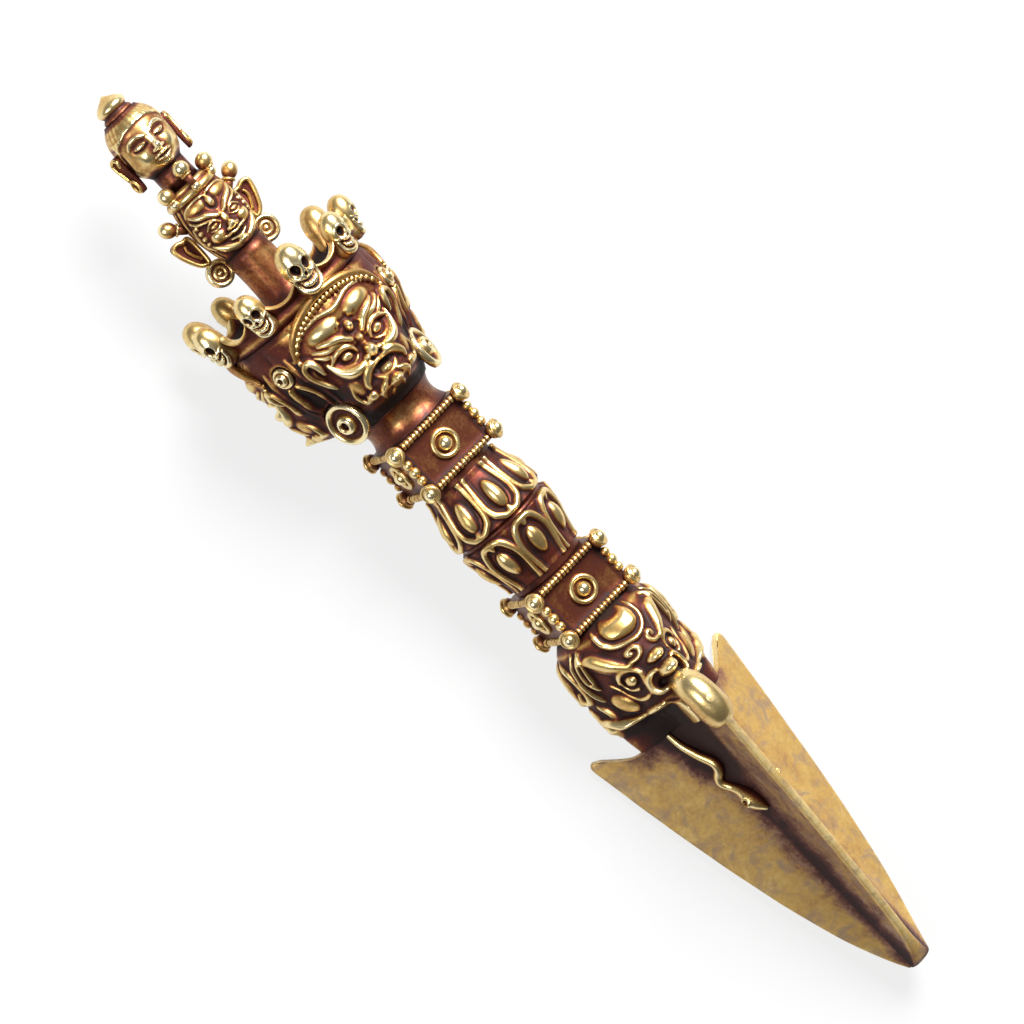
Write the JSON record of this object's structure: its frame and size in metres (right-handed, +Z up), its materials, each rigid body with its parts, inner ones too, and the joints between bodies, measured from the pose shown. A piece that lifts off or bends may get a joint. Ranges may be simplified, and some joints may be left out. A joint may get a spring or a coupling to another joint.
{
  "type": "three-bladed ritual peg",
  "caption": "Three-sided peg-dagger in cast brass, with a stacked handle of wrathful and calm heads, knot blocks and lotus petals, laid on its back.",
  "frame": {"origin": "on the table under the middle of the peg, which lies on its two back fins and two rear skulls", "axes": "+X along the peg towards the blade's point, +Z up through the front face, +Y to the right of the face; the peg's axis climbs a few degrees towards the heads"},
  "size_m": [0.1796, 0.0326, 0.0325],
  "materials": {
    "satin_brass": "satin worn brass with grey-violet mottling and red-brown patina in the troughs",
    "cast_brass": "cast brass, rubbed bright on the high points, red-brown patina in the recesses",
    "pale_brass": "cast brass polished pale by handling",
    "brown_brass": "smooth brass under copper-brown patina"
  },
  "bodies": {
    "root": {"blade": "satin_brass", "snake_left": "cast_brass", "snake_right": "cast_brass", "snake_rear": "cast_brass", "makara_head": "cast_brass", "makara_eyes": "pale_brass", "makara_trunk": "pale_brass", "lower_knot_block": "brown_brass", "lower_knot_beads": "cast_brass", "lower_knot_balls": "pale_brass", "lower_knot_bosses": "pale_brass", "lotus_shaft": "brown_brass", "lower_petals": "cast_brass", "upper_petals": "cast_brass", "upper_knot_block": "brown_brass", "upper_knot_beads": "cast_brass", "upper_knot_balls": "pale_brass", "upper_knot_bosses": "pale_brass", "main_neck": "brown_brass", "head_drum": "brown_brass", "face_front": "cast_brass", "face_left": "cast_brass", "face_right": "cast_brass", "earring_left": "pale_brass", "earring_right": "pale_brass", "earring_rear": "pale_brass", "rosette_left": "pale_brass", "rosette_right": "pale_brass", "rosette_rear": "pale_brass", "diadem_front": "cast_brass", "diadem_left": "cast_brass", "diadem_right": "cast_brass", "crown": "cast_brass", "skull_front": "pale_brass", "skull_front_left": "pale_brass", "skull_front_right": "pale_brass", "skull_left": "pale_brass", "skull_left_front": "pale_brass", "skull_left_rear": "pale_brass", "skull_right": "pale_brass", "skull_right_front": "pale_brass", "skull_right_rear": "pale_brass", "staff": "brown_brass", "crowned_head": "cast_brass", "brow_band": "pale_brass", "temple_knobs": "pale_brass", "side_ribbons": "cast_brass", "ring_left": "pale_brass", "ring_right": "pale_brass", "top_neck": "brown_brass", "calm_head": "pale_brass", "calm_ears": "cast_brass", "topknot": "pale_brass"}
  },
  "joints": []
}
